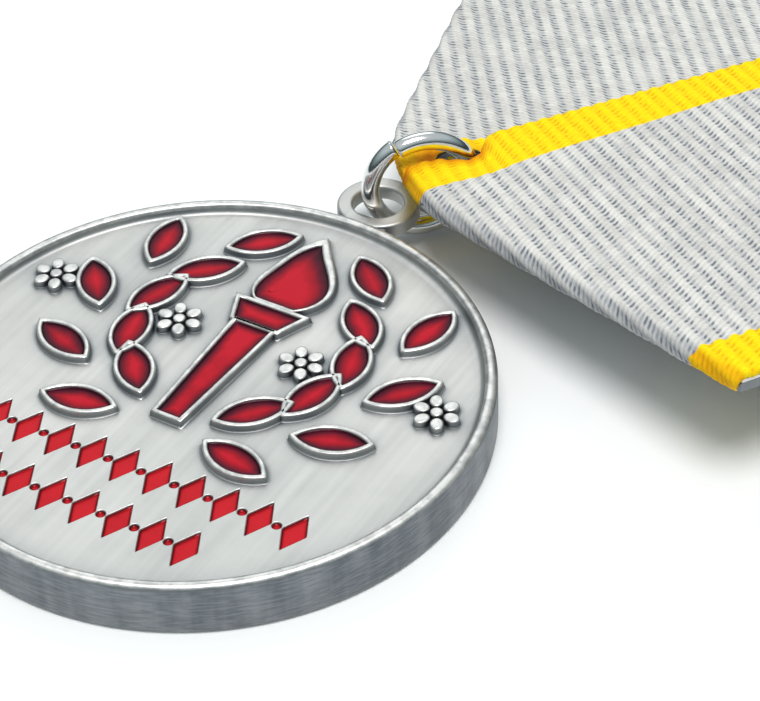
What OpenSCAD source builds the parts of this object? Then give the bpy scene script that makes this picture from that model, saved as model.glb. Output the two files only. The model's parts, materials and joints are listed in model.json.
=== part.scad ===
// Service medal: a struck and enamelled disc hung by a split ring from a ribbon-covered
// pentagonal mount with a brooch pin. It lies face up, as on a table.
// The origin is the middle of the disc's back. +X runs along the inlaid rows, +Y points to the lug.

/* [Disc] */
// Diameter of the disc
disc_d = 32; // [30:0.5:34]
// Thickness over the rim
disc_t = 3.25; // [3:0.05:3.4]
// Width of the flat top of the rim
rim_w = 0.5; // [0.4:0.05:0.8]
// Depth of the field below the rim
field_drop = 0.6; // [0.5:0.05:0.7]

/* [Lug] */
// Distance from the disc's middle to the lug's hole
lug_y = 18.6; // [18.5:0.05:18.8]
// Outer diameter of the lug
lug_d = 4.9; // [4.7:0.1:5]
// Diameter of the lug's hole
lug_hole_d = 3; // [2.9:0.05:3.1]
// Thickness of the lug
lug_t = 1; // [0.9:0.05:1.05]

/* [Ring] */
// Diameter of the ring's wire
wire_d = 1.1; // [1:0.05:1.1]
// Diameter of the ring, to the middle of the wire
ring_d = 6.12; // [6:0.02:6.2]

/* [Mount] */
// Height of the pentagon, from its sharp lower point to its top side
mount_h = 55; // [54:0.5:56]
// Width of the top side
mount_top_w = 28.6; // [27:0.1:29]
// Width across the two lower corners
mount_w = 50.6; // [50:0.1:51]
// Height of the lower corners
corner_y = 13.3; // [13:0.1:13.5]
// Height at which the lower point is cut off
tip_y = 1.9; // [1.8:0.05:2]
// Height of the hole for the ring
eye_y = 5.55; // [5.5:0.05:5.6]
// Diameter of that hole
eye_d = 3.5; // [3.4:0.05:3.6]
// Thickness of the steel plate
plate_t = 0.5; // [0.4:0.05:0.6]
// Thickness of the card under the ribbon
card_t = 0.2; // [0.15:0.05:0.25]
// Thickness of the ribbon
ribbon_t = 0.25; // [0.2:0.05:0.3]

/* [Brooch pin] */
// Distance from the hinge to the catch
pin_span = 24; // [22:0.5:25]
// Diameter of the pin's wire
pin_d = 0.8; // [0.7:0.05:0.8]
// Height of the pin on the mount
pin_y = 27; // [26:0.5:30]

/* [Hidden] */
$fn = 96;
eps = 0.01;

// Heights on the disc
disc_r = disc_d / 2;
field_z = disc_t - field_drop;
relief_h = 0.42;
enamel_h = 0.26;
cloison = 0.34;
recess = 0.35;
inlay_h = 0.24;
lug_z = 1.65;
lug_edge = 0.22;
neck_half = 1.7;

// The wreath
wreath_c = [0, 4.3];
wreath_r = 8;
leaf_l = 4.7;
leaf_w = 2.35;
leaf_pairs = 4;
leaf_first = 18;
leaf_pitch = 30;
leaf_splay = 29;
leaf_shift = 0.75;

// The torch
torch_foot = -3.5;
torch_neck = 5.2;
bowl_top = 7.2;
flame_top = 13.9;
foot_w = 2;
neck_w = 2.9;
bowl_w = 5;
flame_w = 4.6;

// The four rosettes
rosette_x = [4, 12.5];
rosette_y = 3.7;

// The two rows of lozenges
row_pitch = 2.1;
upper_row_y = -7.3;
upper_row_n = 5;
lower_row_y = -10.9;
lower_row_n = 3;

// Where the ring stands
ring_at = [2.15, 20.05, 3.82];
ring_azimuth = 43.5;
ring_gap = 3.5;
ring_cut = 118;

// Where the mount lies
mount_at = [0.07, 17.6, 5.83];
mount_turn = [-2.52, -5.84, -45.68];

// Layers of the mount, from its face (z = 0) down
under_z = -2 * ribbon_t;
card_z = under_z - card_t;
plate_z = card_z - plate_t;
tail_z = plate_z - ribbon_t;
tail_w = 6;
fold = ribbon_t + 0.05;

// The brooch pin
base_t = 0.5;
base_z = plate_z - base_t;
base_w = 4;
hinge_x = pin_span / 2;
catch_x = -pin_span / 2;
wire_z = base_z - 0.85;
base_l = pin_span + 1;
base_rivet_x = 6;
base_rivet_d = 1;
rivet_d = 0.7;
knuckle_d = 1.5;
knuckle_l = 1.9;
ear_t = 0.5;
ear_d = 1.6;
ear_at = knuckle_l / 2 + 0.05 + ear_t / 2;
rivet_end = ear_at + ear_t / 2;
needle_l = pin_span + 0.5;
point_l = 1.8;
slot_w = pin_d + 0.12;
cheek_d = 0.8;
cheek_at = slot_w / 2 + cheek_d / 2;
catch_w = 2 * cheek_at + cheek_d;
catch_l = 1.8;

// Stitches
stitches = 11;
stitch_pitch = 1.6;
stitch_d = 0.24;

// ---- Shapes shared by the disc's parts ----

// A pointed leaf, centred, along Y: the overlap of two round discs, drawn in by a distance
module leaf(inset, h) {
    r = (leaf_l * leaf_l + leaf_w * leaf_w) / (4 * leaf_w);
    off = r - leaf_w / 2;
    intersection() {
        translate([off, 0, 0]) cylinder(r = r - inset, h = h);
        translate([-off, 0, 0]) cylinder(r = r - inset, h = h);
    }
}

// One branch of the wreath: pairs of leaves along an arc, and a last one at the tip
module branch(side, inset, h) {
    for (i = [0 : leaf_pairs - 1])
        for (s = [-1, 1])
            branch_leaf(side, leaf_first + i * leaf_pitch, s, inset, h);
    branch_leaf(side, leaf_first + leaf_pairs * leaf_pitch, 0, inset, h);
}

// A leaf at an angle up from the wreath's foot: outside the arc (1), inside it (-1) or on it (0)
module branch_leaf(side, at, s, inset, h)
    translate([wreath_c.x, wreath_c.y, 0])
        mirror([side < 0 ? 1 : 0, 0, 0])
            rotate([0, 0, at - 90])
                translate([wreath_r + s * leaf_shift, 0, 0])
                    rotate([0, 0, -s * leaf_splay])
                        translate([0, leaf_l / 2, 0])
                            leaf(inset, h);

// A tapered bar between two heights
module taper(y0, y1, w0, w1, h)
    linear_extrude(height = h)
        polygon([[-w0 / 2, y0], [w0 / 2, y0], [w1 / 2, y1], [-w1 / 2, y1]]);

// A flame: an upright teardrop that leans and sways towards its tip
function flame_half(t, w) = w / 2 * pow(sin(180 * pow(t, 0.62)), 0.9);
function flame_sway(t) = 0.55 * sin(300 * t) * t;
module flame(y0, y1, w, h) {
    n = 18;
    right = [for (i = [0 : n]) let (t = i / n) [flame_sway(t) + flame_half(t, w), y0 + t * (y1 - y0)]];
    left = [for (i = [n - 1 : -1 : 1]) let (t = i / n) [flame_sway(t) - flame_half(t, w), y0 + t * (y1 - y0)]];
    linear_extrude(height = h) polygon(concat(right, left));
}

// A lozenge
module lozenge(w, l, h)
    linear_extrude(height = h)
        polygon([[w / 2, 0], [0, l / 2], [-w / 2, 0], [0, -l / 2]]);

// A row of lozenges with a small dot between each two
module border_row(y, n, grow, h) {
    for (i = [-n : n])
        translate([i * row_pitch, y, 0])
            lozenge(1.35 + grow, 2.6 + 2 * grow, h);
    for (i = [-n : n - 1])
        translate([(i + 0.5) * row_pitch, y, 0])
            cylinder(d = 0.42 + grow, h = h);
}

// A raised rosette of six round petals
module rosette(x, y)
    translate([x, y, field_z - eps]) {
        for (a = [0 : 60 : 300])
            rotate([0, 0, a]) translate([0.92, 0, 0]) cylinder(d = 0.86, h = relief_h, $fn = 32);
        difference() {
            cylinder(r = 0.98, h = relief_h - 0.08);
            translate([0, 0, relief_h - 0.2]) cylinder(r = 0.72, h = 1);
        }
        cylinder(r = 0.36, h = relief_h + 0.04);
    }

// ---- Disc ----

module planchet()
    rotate_extrude($fn = 180)
        polygon([
            [0, 0], [disc_r - 0.2, 0], [disc_r, 0.2], [disc_r, disc_t - 0.14],
            [disc_r - 0.12, disc_t], [disc_r - 0.12 - rim_w, disc_t],
            [disc_r - 0.3 - rim_w, field_z], [0, field_z]
        ]);

// The washer-like lug, with its edges broken, and the neck that joins it to the disc
module lug() {
    r0 = lug_hole_d / 2;
    r1 = lug_d / 2;
    e = lug_edge;
    translate([0, lug_y, lug_z])
        rotate_extrude()
            polygon([
                [r0 + e, 0], [r1 - e, 0], [r1, e], [r1, lug_t - e],
                [r1 - e, lug_t], [r0 + e, lug_t], [r0, lug_t - e], [r0, e]
            ]);
    translate([0, 0, lug_z + e])
        difference() {
            translate([-neck_half, disc_r - 0.6, 0]) cube([2 * neck_half, lug_y - disc_r, lug_t - 2 * e]);
            translate([0, lug_y, -1]) cylinder(r = r0 + 0.4, h = 3);
        }
}

// The raised metal walls that stand around the enamel
module outlines() {
    translate([0, 0, field_z - eps]) {
        branch(-1, 0, relief_h);
        branch(1, 0, relief_h);
        taper(torch_foot, torch_neck, foot_w, neck_w, relief_h);
        taper(torch_neck - eps, bowl_top, neck_w + 0.3, bowl_w, relief_h);
        flame(bowl_top - 0.5, flame_top, flame_w, relief_h);
    }
}

module cells(h) {
    branch(-1, cloison, h);
    branch(1, cloison, h);
    handle_cell(h);
    bowl_cell(h);
    flame_cell(h);
}

module handle_cell(h)
    taper(torch_foot + cloison, torch_neck - cloison / 2, foot_w - 2 * cloison, neck_w - 2 * cloison, h);

module bowl_cell(h)
    taper(torch_neck + cloison / 2, bowl_top - cloison / 2, neck_w - 1.4 * cloison, bowl_w - 2.6 * cloison, h);

module flame_cell(h)
    difference() {
        flame(bowl_top - 0.2, flame_top - 2.4 * cloison, flame_w - 2.4 * cloison, h);
        translate([-3, 0, -1]) cube([6, bowl_top + cloison / 2, h + 2]);
    }

module medal_disc()
    color([0.74, 0.73, 0.71]) {
        difference() {
            planchet();
            translate([0, 0, field_z - recess]) {
                border_row(upper_row_y, upper_row_n, 0.1, 1);
                border_row(lower_row_y, lower_row_n, 0.1, 1);
            }
        }
        lug();
        difference() {
            outlines();
            translate([0, 0, field_z]) cells(1);
        }
        for (x = rosette_x)
            for (s = [-1, 1])
                rosette(s * x, rosette_y);
    }

// ---- Enamel ----

enamel = [0.62, 0.06, 0.14];

module enamel_leaves(side)
    color(enamel)
        translate([0, 0, field_z])
            branch(side, cloison, enamel_h);

module enamel_torch_handle() color(enamel) translate([0, 0, field_z]) handle_cell(enamel_h);
module enamel_torch_bowl() color(enamel) translate([0, 0, field_z]) bowl_cell(enamel_h);
module enamel_torch_flame() color(enamel) translate([0, 0, field_z]) flame_cell(enamel_h);

module enamel_border(y, n)
    color(enamel)
        translate([0, 0, field_z - recess])
            border_row(y, n, 0.1, inlay_h);

// ---- Ring ----

module jump_ring()
    color([0.8, 0.8, 0.82])
        translate(ring_at)
            rotate([90, 0, ring_azimuth])
                rotate([0, 0, ring_cut + ring_gap / 2])
                    rotate_extrude(angle = 360 - ring_gap)
                        translate([ring_d / 2, 0]) circle(d = wire_d);

// ---- Mount ----

module on_mount() translate(mount_at) rotate(mount_turn) children();

corner = [mount_w / 2, corner_y];
shoulder = [mount_top_w / 2, mount_h];
// Slope of the two lower sides, and of the two long sides
low = corner_y / corner.x;
lean = (corner.x - shoulder.x) / (mount_h - corner_y);
low_len = norm([1, low]);
tip_half = tip_y / low;

// Outline of the pentagon with its lower sides and its top set in by a distance
function outline(inset) =
    let (
        drop = inset * low_len,
        side_y = (corner.x * low + lean * corner_y * low + drop) / (1 + lean * low),
        side_x = (side_y - drop) / low,
        top_y = mount_h - inset,
        top_x = corner.x - lean * (top_y - corner_y),
        cut_y = tip_y + inset,
        cut_x = (cut_y - drop) / low
    )
    [[cut_x, cut_y], [side_x, side_y], [top_x, top_y], [-top_x, top_y], [-side_x, side_y], [-cut_x, cut_y]];

// A flat slab of the pentagon between two heights
module slab(inset, z0, z1)
    translate([0, 0, z0]) linear_extrude(height = z1 - z0) polygon(outline(inset));

module eye(d) translate([0, eye_y, -4]) cylinder(d = d, h = 6);

// Everything on one side of the line that each ribbon's inner edge follows
module ribbon_half(side)
    mirror([side < 0 ? 1 : 0, 0, 0])
        translate([0, 0, -4])
            linear_extrude(height = 8)
                polygon([[0, 0], [corner.x + 5, 0], [corner.x + 5, mount_h + 1],
                         [-lean * (mount_h + 1), mount_h + 1]]);

// The band along a ribbon's own lower side that its end covers behind the plate
module lower_band(side, start)
    mirror([side < 0 ? 1 : 0, 0, 0])
        translate([0, 0, -4])
            linear_extrude(height = 8)
                polygon([[start, 0], [corner.x + 1, low * (corner.x + 1) - 4],
                         [corner.x + 1, low * corner.x + tail_w * low_len],
                         [start, low * max(start, 0) + tail_w * low_len]]);

// The band along the top side
module upper_band()
    translate([-mount_w, mount_h - tail_w, -4]) cube([2 * mount_w, tail_w + 1, 8]);

// A ribbon's face, from the line of its inner edge to its own long side
module ribbon_face(side, z1)
    difference() {
        intersection() {
            slab(0, z1 - ribbon_t, z1);
            ribbon_half(side);
        }
        eye(eye_d + 0.2);
    }

// The fold around the plate's edge and the end behind the plate, within the children's bands
module ribbon_turn(z1)
    difference() {
        intersection() {
            slab(0, tail_z, z1 - ribbon_t / 2);
            union() children();
        }
        slab(fold, plate_z, 2);
        eye(eye_d + 0.2);
    }

module mount_plate()
    color([0.72, 0.73, 0.75])
        on_mount()
            difference() {
                slab(fold, plate_z, card_z);
                eye(eye_d);
                rivet_pair(base_rivet_d, base_z - 1, 3);
            }

module stiffener_card()
    color([0.95, 0.95, 0.93])
        on_mount()
            difference() {
                slab(fold, card_z, under_z);
                eye(eye_d + 0.3);
            }

module ribbon_under()
    color([0.78, 0.77, 0.75])
        on_mount() {
            difference() {
                ribbon_face(-1, -ribbon_t);
                translate([-mount_w, mount_h - fold, -4]) cube([2 * mount_w, 8, 8]);
            }
            ribbon_turn(-ribbon_t) lower_band(-1, tip_half + 0.1);
        }

module ribbon_over()
    color([0.82, 0.81, 0.79])
        on_mount() {
            ribbon_face(1, 0);
            ribbon_turn(0) {
                lower_band(1, -tip_half);
                upper_band();
            }
        }

// Short stitches that hold the ribbon's ends, across the middle of each band
module ribbon_stitches()
    color([0.9, 0.89, 0.86])
        on_mount() {
            for (side = [-1, 1])
                for (i = [0 : stitches - 1])
                    let (x = side * (tip_half + 3 + i * stitch_pitch))
                        stitch(x, low * abs(x) + tail_w * 0.8 * low_len, side * atan(low));
            for (i = [-stitches + 1 : stitches - 1])
                stitch(i * stitch_pitch * 0.8, mount_h - tail_w * 0.8, 0);
        }

module stitch(x, y, turn)
    translate([x, y, tail_z - stitch_d / 2])
        rotate([0, 90, turn])
            cylinder(d = stitch_d, h = stitch_pitch * 0.5, center = true, $fn = 24);

// ---- Brooch pin ----

// The holes for the two rivets, or the rivets' shanks
module rivet_pair(d, z0, h)
    for (x = [-1, 1])
        translate([x * base_rivet_x, pin_y, z0]) cylinder(d = d, h = h, $fn = 48);

// The flat bar behind the plate, with the two ears that carry the hinge
module pin_base()
    color([0.66, 0.67, 0.69])
        on_mount()
            difference() {
                union() {
                    bar();
                    for (s = [-1, 1])
                        ear(s);
                }
                rivet_pair(base_rivet_d, base_z - 1, 3);
                hinge_bore(rivet_d, 9);
            }

// The bar, with round ends
module bar() {
    translate([-base_l / 2, pin_y - base_w / 2, base_z]) cube([base_l, base_w, base_t]);
    for (x = [-1, 1])
        translate([x * base_l / 2, pin_y, base_z]) cylinder(d = base_w, h = base_t);
}

module ear(s)
    translate([hinge_x, pin_y + s * ear_at, 0])
        rotate([90, 0, 0])
            translate([0, 0, -ear_t / 2]) {
                translate([0, wire_z, 0]) cylinder(d = ear_d, h = ear_t, $fn = 48);
                translate([-ear_d / 2, wire_z, 0]) cube([ear_d, base_z - wire_z + eps, ear_t]);
            }

module hinge_bore(d, l)
    translate([hinge_x, pin_y, wire_z])
        rotate([90, 0, 0]) cylinder(d = d, h = l, center = true, $fn = 48);

module base_rivets()
    color([0.6, 0.61, 0.63])
        on_mount() {
            rivet_pair(base_rivet_d, base_z, card_z - base_z);
            rivet_pair(base_rivet_d + 0.8, base_z - 0.3, 0.3);
        }

module hinge_rivet()
    color([0.6, 0.61, 0.63])
        on_mount() {
            hinge_bore(rivet_d, 2 * rivet_end);
            for (s = [-1, 1])
                translate([hinge_x, pin_y + s * (rivet_end + 0.1), wire_z])
                    rotate([90, 0, 0]) cylinder(d = rivet_d + 0.5, h = 0.2, center = true, $fn = 48);
        }

// The needle, with a knuckle that turns on the hinge rivet
module pin_wire()
    color([0.75, 0.76, 0.78])
        on_mount()
            difference() {
                union() {
                    hinge_bore(knuckle_d, knuckle_l);
                    translate([hinge_x, pin_y, wire_z])
                        rotate([0, -90, 0]) {
                            cylinder(d = pin_d, h = needle_l, $fn = 48);
                            translate([0, 0, needle_l]) cylinder(d1 = pin_d, d2 = 0.12, h = point_l, $fn = 48);
                        }
                }
                hinge_bore(rivet_d + 0.1, 9);
            }

// The catch: a small channel that the needle snaps into
module pin_catch()
    color([0.7, 0.71, 0.73])
        on_mount()
            difference() {
                union() {
                    translate([catch_x - catch_l / 2, pin_y - catch_w / 2, wire_z])
                        cube([catch_l, catch_w, base_z - wire_z]);
                    for (s = [-1, 1])
                        translate([catch_x, pin_y + s * cheek_at, wire_z])
                            rotate([90, 0, 90])
                                cylinder(d = cheek_d, h = catch_l, center = true, $fn = 48);
                }
                translate([catch_x, pin_y, wire_z])
                    rotate([0, 90, 0]) cylinder(d = slot_w, h = 9, center = true, $fn = 48);
                translate([catch_x - 3, pin_y - slot_w / 2, wire_z - 3]) cube([6, slot_w, 3]);
            }

// ---- Draw ----

medal_disc();
enamel_leaves(-1);  // enamel_leaves_left
enamel_leaves(1);  // enamel_leaves_right
enamel_torch_handle();
enamel_torch_bowl();
enamel_torch_flame();
enamel_border(upper_row_y, upper_row_n);  // enamel_border_upper
enamel_border(lower_row_y, lower_row_n);  // enamel_border_lower
jump_ring();
mount_plate();
stiffener_card();
ribbon_under();
ribbon_over();
ribbon_stitches();
pin_base();
base_rivets();
hinge_rivet();
pin_wire();
pin_catch();
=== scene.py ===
# Medal with ruby enamel on a ribbon-covered mount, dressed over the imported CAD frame.
# Shapes are in millimetres until mesh_object() turns them into metres; materials, lights and the camera
# are in metres.
import json
import math

import bpy
import numpy as np
from mathutils import Matrix, Vector
from mathutils.geometry import delaunay_2d_cdt


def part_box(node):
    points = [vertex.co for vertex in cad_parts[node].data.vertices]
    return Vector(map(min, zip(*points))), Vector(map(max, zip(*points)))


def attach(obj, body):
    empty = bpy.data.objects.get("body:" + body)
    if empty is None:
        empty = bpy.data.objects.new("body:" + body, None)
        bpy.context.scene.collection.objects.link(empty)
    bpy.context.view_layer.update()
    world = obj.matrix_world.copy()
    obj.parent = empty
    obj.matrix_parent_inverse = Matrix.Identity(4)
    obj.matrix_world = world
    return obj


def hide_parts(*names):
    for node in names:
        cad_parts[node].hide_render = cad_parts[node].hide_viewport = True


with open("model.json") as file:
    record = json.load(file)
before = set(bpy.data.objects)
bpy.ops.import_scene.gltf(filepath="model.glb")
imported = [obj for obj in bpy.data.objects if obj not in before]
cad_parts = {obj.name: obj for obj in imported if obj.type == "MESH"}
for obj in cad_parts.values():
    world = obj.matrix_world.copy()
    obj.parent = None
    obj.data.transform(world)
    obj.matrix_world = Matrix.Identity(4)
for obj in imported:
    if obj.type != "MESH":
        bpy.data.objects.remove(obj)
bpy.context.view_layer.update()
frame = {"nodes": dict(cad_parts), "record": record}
MM = 0.001
NODES = frame["nodes"]
RECORD = frame["record"]
rng = np.random.default_rng(7)


def unit(v):
    v = np.asarray(v, float)
    return v / np.linalg.norm(v)


def smooth(x, a, b):
    t = np.clip((x - a) / (b - a), 0, 1)
    return t * t * (3 - 2 * t)


# ---------------------------------------------------------------- meshes


def mesh_object(name, verts, faces, material, attributes):
    """A mesh in millimetres, as a smooth-shaded object in metres."""
    me = bpy.data.meshes.new(name)
    me.from_pydata((np.asarray(verts, float) * MM).tolist(), [], faces)
    me.update()
    for key, values in attributes.items():
        values = np.asarray(values, np.float32)
        kind = "FLOAT" if values.ndim == 1 else "FLOAT_VECTOR"
        layer = me.attributes.new(key, kind, "POINT")
        layer.data.foreach_set("value" if kind == "FLOAT" else "vector", values.ravel())
    me.polygons.foreach_set("use_smooth", [True] * len(me.polygons))
    o = bpy.data.objects.new(name, me)
    bpy.context.scene.collection.objects.link(o)
    me.materials.append(material)
    return o


class Build:
    """Gathers several surfaces into one mesh, with one value at each point."""

    def __init__(self):
        self.verts, self.faces, self.values = [], [], []

    def add(self, verts, faces, value=0.0):
        base = len(self.verts)
        self.verts.extend(np.asarray(verts, float).tolist())
        self.faces.extend([[base + i for i in f] for f in faces])
        values = np.broadcast_to(np.asarray(value, float), (len(verts),))
        self.values.extend(values.tolist())
        return base

    def loops(self, rings, capped=False, value=0.0):
        """Joins closed rings of equal length, each a list of points, with quads."""
        n, m = len(rings[0]), len(rings)
        verts = np.concatenate([np.asarray(r, float) for r in rings])
        faces = []
        for j in range(m - 1):
            for i in range(n):
                k = (i + 1) % n
                faces.append([j * n + i, j * n + k, (j + 1) * n + k, (j + 1) * n + i])
        if capped:
            faces.append(list(range(n))[::-1])
            faces.append([(m - 1) * n + i for i in range(n)])
        return self.add(verts, faces, value)

    def fan(self, rings, tone, centre):
        """Rings drawn in round a centre, closed there by a fan; tone is the value at each ring."""
        n = len(rings[0])
        base = self.loops(rings, value=np.repeat(tone, n))
        last = base + (len(rings) - 1) * n
        middle = self.add([centre], [], 1.0)
        self.faces.extend([[last + i, last + (i + 1) % n, middle] for i in range(n)])

    def object(self, name, material):
        return mesh_object(name, self.verts, self.faces, material, {"depth": self.values})


def turns(n):
    """Angles of n points round a circle."""
    return np.arange(n) * 2 * math.pi / n


def circle(r, n, z=0.0, at=(0.0, 0.0)):
    a = turns(n)
    return np.stack([at[0] + r * np.cos(a), at[1] + r * np.sin(a), np.full(n, z)], 1)


def at_height(outline, z):
    return np.column_stack([outline, np.full(len(outline), z)])


def along_sides(corners, t):
    """Points at the fractions t of each side of a polygon."""
    corners = np.asarray(corners, float)
    sides = zip(corners, np.roll(corners, -1, 0))
    return np.concatenate([a + (b - a) * t[:, None] for a, b in sides])


def ring_edges(*loops):
    """Edges that close each list of point numbers."""
    return [(l[i], l[(i + 1) % len(l)]) for l in loops for i in range(len(l))]


def twice_area(a, b, c):
    """Twice a triangle's area, positive when it turns to the left."""
    return (b[0] - a[0]) * (c[1] - a[1]) - (b[1] - a[1]) * (c[0] - a[0])


# ---------------------------------------------------------------- materials


class Mat:
    """A node material with short calls."""

    def __init__(self, name):
        self.m = bpy.data.materials.new(name)
        self.m.use_nodes = True
        self.t = self.m.node_tree
        self.t.nodes.clear()
        self.out = self.t.nodes.new("ShaderNodeOutputMaterial")
        self.p = self.t.nodes.new("ShaderNodeBsdfPrincipled")
        self.t.links.new(self.p.outputs[0], self.out.inputs[0])
        self.coord = self.t.nodes.new("ShaderNodeTexCoord").outputs["Object"]

    def node(self, kind, **inputs):
        n = self.t.nodes.new(kind)
        for key, value in inputs.items():
            self.feed(n.inputs[key.replace("_", " ")], value)
        return n

    def feed(self, socket, value):
        if isinstance(value, bpy.types.NodeSocket):
            self.t.links.new(value, socket)
        else:
            socket.default_value = value

    def set(self, **inputs):
        for key, value in inputs.items():
            self.feed(self.p.inputs[key.replace("_", " ")], value)

    def math(self, op, a, b=0.0):
        n = self.t.nodes.new("ShaderNodeMath")
        n.operation = op
        self.feed(n.inputs[0], a)
        self.feed(n.inputs[1], b)
        return n.outputs[0]

    def add(self, a, b):
        return self.math("ADD", a, b)

    def times(self, a, b):
        return self.math("MULTIPLY", a, b)

    def mapped(self, scale, rotation=0.0):
        n = self.t.nodes.new("ShaderNodeMapping")
        self.feed(n.inputs["Vector"], self.coord)
        n.inputs["Rotation"].default_value = (0, 0, rotation)
        n.inputs["Scale"].default_value = scale
        return n.outputs[0]

    def noise(self, scale, detail, vector=None):
        n = self.node("ShaderNodeTexNoise", Scale=scale, Detail=detail, Roughness=0.55)
        self.feed(n.inputs["Vector"], vector or self.coord)
        return n.outputs["Fac"]

    def span(self, value, a, b, lo=0.0, hi=1.0):
        """Takes a..b to lo..hi with an eased step."""
        n = self.t.nodes.new("ShaderNodeMapRange")
        n.interpolation_type = "SMOOTHSTEP"
        for socket, v in zip(n.inputs, (value, a, b, lo, hi)):
            self.feed(socket, v)
        return n.outputs[0]

    def mix(self, fac, a, b):
        n = self.t.nodes.new("ShaderNodeMix")
        n.data_type = "RGBA"
        self.feed(n.inputs[0], fac)
        self.feed(n.inputs[6], a if isinstance(a, bpy.types.NodeSocket) else (*a, 1))
        self.feed(n.inputs[7], b if isinstance(b, bpy.types.NodeSocket) else (*b, 1))
        return n.outputs[2]

    def ramp(self, fac, stops):
        n = self.t.nodes.new("ShaderNodeValToRGB")
        self.feed(n.inputs[0], fac)
        e = n.color_ramp.elements
        while len(e) < len(stops):
            e.new(0.5)
        for item, (pos, col) in zip(e, stops):
            item.position, item.color = pos, (*col, 1)
        return n.outputs[0]

    def attribute(self, name, output):
        n = self.t.nodes.new("ShaderNodeAttribute")
        n.attribute_name = name
        return n.outputs[output]

    def point(self, **axes):
        return self.node("ShaderNodeCombineXYZ", **axes).outputs[0]

    def xyz(self, vector=None):
        n = self.t.nodes.new("ShaderNodeSeparateXYZ")
        self.feed(n.inputs[0], vector or self.coord)
        return n.outputs

    def occlusion(self, distance):
        n = self.t.nodes.new("ShaderNodeAmbientOcclusion")
        n.only_local, n.samples = True, 8
        n.inputs["Distance"].default_value = distance
        return n.outputs["AO"]

    def bump(self, *layers):
        """Layers of (height, strength, distance in metres), one on another."""
        normal = None
        for height, strength, distance in layers:
            n = self.node("ShaderNodeBump", Strength=strength, Distance=distance)
            self.feed(n.inputs["Height"], height)
            if normal is not None:
                self.feed(n.inputs["Normal"], normal)
            normal = n.outputs[0]
        self.feed(self.p.inputs["Normal"], normal)
        return self.m


def silver():
    """Antiqued silver: brushed field, dark corners, bright raised edges, dark side wall."""
    m = Mat("antiqued_silver")
    x, y, z = m.xyz()
    hair = m.noise(2600, 4, m.mapped((1, 0.03, 1), math.radians(-40)))
    hair2 = m.noise(900, 3, m.mapped((1, 0.05, 1), math.radians(-52)))
    cloud = m.noise(260, 4)
    grain = m.noise(5200, 2)
    corner = m.span(m.occlusion(0.0016), 0.60, 0.99, 1, 0)
    tight = m.span(m.occlusion(0.00035), 0.45, 0.95, 1, 0)
    # The side wall is the band at the disc's own radius; the lug, farther out, isn't part of it
    radius = m.math("SQRT", m.add(m.times(x, x), m.times(y, y)))
    wall = m.times(m.span(radius, 0.01588, 0.01596), m.span(z, 0.00318, 0.00300))
    wall = m.times(wall, m.span(radius, 0.01602, 0.01610, 1, 0))
    crest = m.span(z, 0.00296, 0.00304)
    field = m.mix(m.span(cloud, 0.3, 0.7), (0.56, 0.555, 0.535), (0.64, 0.63, 0.605))
    field = m.mix(m.times(m.span(hair, 0.35, 0.7), 0.5), field, (0.70, 0.69, 0.66))
    aged = m.mix(m.times(corner, 0.78), field, (0.16, 0.185, 0.21))
    aged = m.mix(m.times(tight, 0.75), aged, (0.045, 0.05, 0.06))
    wear = m.span(m.noise(1500, 4), 0.35, 0.62)
    worn = m.mix(wear, (0.56, 0.555, 0.54), (0.80, 0.785, 0.755))
    bright = m.mix(crest, aged, worn)
    bright = m.mix(m.times(tight, m.times(crest, 0.5)), bright, (0.2, 0.21, 0.22))
    streak = m.noise(700, 3, m.mapped((1, 1, 0.12)))
    layers = m.noise(900, 4, m.mapped((1, 1, 9)))
    stain = m.add(m.times(m.span(streak, 0.3, 0.7), 0.35), m.times(m.span(layers, 0.35, 0.65), 0.35))
    side = m.mix(stain, (0.12, 0.135, 0.15), (0.32, 0.335, 0.35))
    m.set(
        Base_Color=m.mix(wall, bright, side),
        Metallic=0.94,
        Roughness=m.add(m.span(crest, 0, 1, 0.43, 0.36), m.times(m.span(hair2, 0.3, 0.7), 0.09)),
        Anisotropic=0.35,
    )
    return m.bump((hair, 0.16, 0.00002), (grain, 0.10, 0.00001), (streak, 0.05, 0.00002))


def enamel(name, metallic, stops):
    """Ruby glass over metal: dark where it is deep beside the walls, with painted shade from the walls added
    there, lighter in the middle.
    """
    m = Mat(name)
    cloud = m.noise(420, 3)
    fine = m.noise(3800, 2)
    depth = m.add(m.attribute("depth", "Fac"), m.times(m.math("SUBTRACT", cloud, 0.5), 0.9))
    m.set(
        Base_Color=m.ramp(depth, stops),
        Metallic=metallic,
        Roughness=0.36,
        IOR=1.52,
        Coat_Weight=0.14,
        Coat_Roughness=0.09,
        Coat_IOR=1.45,
        Specular_IOR_Level=0.06,
    )
    return m.bump((cloud, 0.10, 0.00006), (fine, 0.12, 0.000008))


def metal(name, colour, rough, scale, stretch, dark, bump):
    """Plated metal with fine scratches, patches that much darker, and painted shade in its corners."""
    m = Mat(name)
    scratch = m.noise(scale, 4, m.mapped(stretch, 0.4))
    patch = m.noise(scale * 0.12, 3)
    # Painted shade: where the occlusion finds a corner, the colour is darkened towards a quarter of itself
    corner = m.span(m.occlusion(0.0005), 0.4, 0.95, 1, 0)
    low = tuple(c * (1 - dark) for c in colour)
    base = m.mix(m.span(patch, 0.3, 0.7), low, colour)
    base = m.mix(m.times(corner, 0.55), base, tuple(c * 0.25 for c in colour))
    polish = m.span(scratch, 0.3, 0.75, rough * 0.75, rough * 1.3)
    m.set(Base_Color=base, Metallic=1.0, Roughness=polish)
    return m.bump((scratch, bump, 0.00001))


def fibrous(name, scale, detail, stretch, low, high, rough, *bump):
    """Card or thread: two tones along its fibres."""
    m = Mat(name)
    fibre = m.noise(scale, detail, m.mapped(stretch))
    m.set(Base_Color=m.mix(m.span(fibre, 0.3, 0.7), low, high), Roughness=rough)
    return m.bump((fibre, *bump))


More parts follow.
